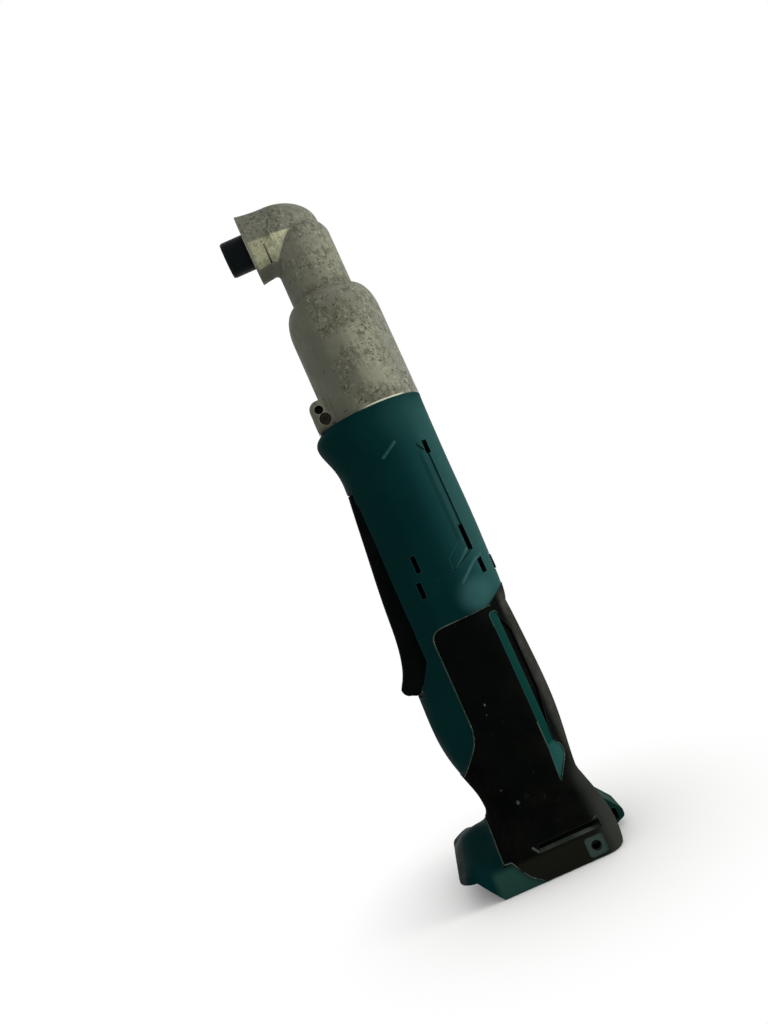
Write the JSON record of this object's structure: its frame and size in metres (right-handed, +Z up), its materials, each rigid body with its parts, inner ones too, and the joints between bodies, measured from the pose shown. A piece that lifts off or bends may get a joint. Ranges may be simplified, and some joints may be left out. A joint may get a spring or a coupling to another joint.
{
  "type": "angle impact driver",
  "caption": "Slim cordless angle impact driver: cast right-angle head with hex bit sleeve, long paddle switch on the front, rubber grip and battery foot.",
  "frame": {"origin": "where the motor axis meets the plane of the sole, under the battery foot", "axes": "+Z up along the motor axis to the angle head, -X the way the bit points, -Y the left flank"},
  "size_m": [0.0772, 0.0626, 0.3294],
  "materials": {
    "cast_alloy": "bead blasted die casting, worn",
    "teal_plastic": "fine moulded grain",
    "grip_rubber": "matt, dusty overmould",
    "black_plastic": "fine moulded grain",
    "black_steel": "black oxide",
    "steel": "ground",
    "spring_steel": "drawn wire",
    "die_cast": "die cast",
    "zinc_steel": "zinc plated",
    "bronze": "sintered",
    "copper": "lacquered wire",
    "tinned_brass": "tin plated",
    "ferrite": "sintered",
    "carbon": "pressed",
    "clear_lens": "moulded clear",
    "lamp_board": "white solder mask"
  },
  "bodies": {
    "body": {"hammer_case": "cast_alloy", "housing_left": "teal_plastic", "housing_right": "teal_plastic", "grip_left": "grip_rubber", "grip_right": "grip_rubber", "switch_body": "black_plastic", "terminal_block": "black_plastic", "motor_end_bell": "black_plastic", "ear_screws": "black_steel", "housing_screws": "black_steel", "head_ring": "steel", "output_bearing": "steel", "anvil_washer": "steel", "ring_gear": "steel", "spindle_bearing": "steel", "lever_pin": "steel", "hook_nuts": "steel", "gear_plate": "die_cast", "motor_can": "zinc_steel", "output_bush": "bronze", "anvil_bush": "bronze", "motor_bushes": "bronze", "terminal_blades": "tinned_brass", "motor_magnets": "ferrite", "carbon_brushes": "carbon", "lamp_lens": "clear_lens", "lamp_led": "lamp_board"},
    "drive": {"cam_spindle": "steel", "cam_balls": "steel", "planet_pins": "steel", "hammer_spring": "spring_steel"},
    "hammer": {"hammer": "steel", "spring_seat": "steel"},
    "anvil": {"anvil": "steel", "anvil_pinion": "steel"},
    "output": {"output_spindle": "steel", "output_gear": "steel", "bit_balls": "steel", "sleeve_washer": "steel", "sleeve_snap_ring": "steel", "sleeve_spring": "spring_steel"},
    "sleeve": {"bit_sleeve": "black_steel"},
    "rotor": {"motor_shaft": "steel", "armature_core": "steel", "armature_windings": "copper", "commutator": "copper", "cooling_fan": "black_plastic", "sun_gear": "steel"},
    "planet_front": {"planet_gear_front": "steel"},
    "planet_back": {"planet_gear_back": "steel"},
    "lever": {"switch_lever": "black_plastic"},
    "plunger": {"switch_plunger": "black_plastic"},
    "reverser": {"reversing_lever": "black_plastic"}
  },
  "joints": [
    {"name": "drive_spin", "type": "hinge", "parent": "body", "child": "drive", "pos_m": [0, 0, 0.2256], "axis": [0, 0, 1], "continuous": true},
    {"name": "hammer_slide", "type": "slide", "parent": "drive", "child": "hammer", "axis": [0, 0, 1], "range_m": [-0.008, 0], "stiffness_N_per_m": 8000, "springref_m": 0.006, "deforming": ["hammer_spring"]},
    {"name": "anvil_spin", "type": "hinge", "parent": "body", "child": "anvil", "pos_m": [0, 0, 0.265], "axis": [0, 0, 1], "continuous": true},
    {"name": "output_spin", "type": "hinge", "parent": "body", "child": "output", "pos_m": [0, 0, 0.3125], "axis": [-1, 0, 0], "continuous": true},
    {"name": "sleeve_slide", "type": "slide", "parent": "output", "child": "sleeve", "axis": [-1, 0, 0], "range_m": [0, 0.003], "stiffness_N_per_m": 1200, "springref_m": -0.002, "deforming": ["sleeve_spring"]},
    {"name": "rotor_spin", "type": "hinge", "parent": "body", "child": "rotor", "pos_m": [0, 0, 0.175], "axis": [0, 0, 1], "continuous": true},
    {"name": "planet_front_spin", "type": "hinge", "parent": "drive", "child": "planet_front", "pos_m": [-0.0093, 0, 0.2166], "axis": [0, 0, 1], "continuous": true},
    {"name": "planet_back_spin", "type": "hinge", "parent": "drive", "child": "planet_back", "pos_m": [0.0093, 0, 0.2166], "axis": [0, 0, 1], "continuous": true},
    {"name": "lever_press", "type": "hinge", "parent": "body", "child": "lever", "pos_m": [-0.022, 0, 0.175], "axis": [0, -1, 0], "range_deg": [0, 4.5], "stiffness_Nm_per_rad": 3, "springref_deg": -8.59},
    {"name": "plunger_press", "type": "slide", "parent": "body", "child": "plunger", "axis": [1, 0, 0], "range_m": [0, 0.0052]},
    {"name": "reverse_shift", "type": "slide", "parent": "body", "child": "reverser", "axis": [0, 1, 0], "range_m": [-0.003, 0.003]}
  ],
  "couplings": [
    {"joint": "anvil_spin", "follows": "drive_spin", "ratio": 1},
    {"joint": "output_spin", "follows": "drive_spin", "ratio": 0.70588},
    {"joint": "rotor_spin", "follows": "drive_spin", "ratio": 5.1667},
    {"joint": "planet_front_spin", "follows": "drive_spin", "ratio": -2.6316},
    {"joint": "planet_back_spin", "follows": "drive_spin", "ratio": -2.6316},
    {"joint": "plunger_press", "follows": "lever_press", "m_per_rad": 0.062}
  ]
}
